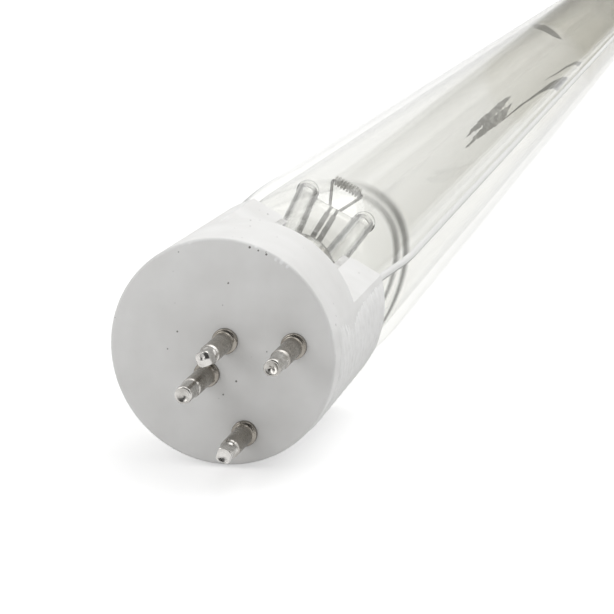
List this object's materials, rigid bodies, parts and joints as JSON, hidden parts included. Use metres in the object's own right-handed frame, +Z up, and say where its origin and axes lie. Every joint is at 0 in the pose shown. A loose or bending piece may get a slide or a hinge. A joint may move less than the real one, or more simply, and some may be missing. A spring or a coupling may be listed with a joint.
{
  "type": "ultraviolet lamp",
  "caption": "Long clear quartz germicidal lamp with white ceramic caps, contact pins on its base and a thin white return lead along the tube.",
  "frame": {"origin": "centre of the base cap's front face, which the contact pins stand out of", "axes": "+Y along the lamp, from the base to the far cap; +Z up, as the lamp lay when pictured"},
  "size_m": [0.0287, 0.853, 0.028],
  "materials": {
    "ceramic": "matt white unglazed ceramic",
    "nickel": "plated, drawn, crimped at the tip",
    "quartz": "clear fused quartz",
    "sleeve": "white fluoropolymer",
    "nickel_wire": "drawn wire",
    "molybdenum": "dark foil and posts",
    "emitter": "emitter paste on a wound coil",
    "cement": "rough light grey cement",
    "amalgam": "dull grey deposit"
  },
  "bodies": {
    "root": {"amalgam": "amalgam", "base_cap": "ceramic", "contact_pin_1": "nickel", "contact_pin_2": "nickel", "contact_pin_3": "nickel", "contact_pin_4": "nickel", "far_cap": "ceramic", "far_cement": "cement", "far_coil": "emitter", "far_foil_1": "molybdenum", "far_foil_2": "molybdenum", "far_lead_1": "nickel_wire", "far_lead_2": "nickel_wire", "far_post_1": "molybdenum", "far_post_2": "molybdenum", "far_stem": "quartz", "lamp_tube": "quartz", "near_cement": "cement", "near_coil": "emitter", "near_foil_1": "molybdenum", "near_foil_2": "molybdenum", "near_lead_1": "nickel_wire", "near_lead_2": "nickel_wire", "near_post_1": "molybdenum", "near_post_2": "molybdenum", "near_stem": "quartz", "return_sleeve": "sleeve", "return_wire_1": "nickel_wire", "return_wire_2": "nickel_wire"}
  },
  "joints": []
}
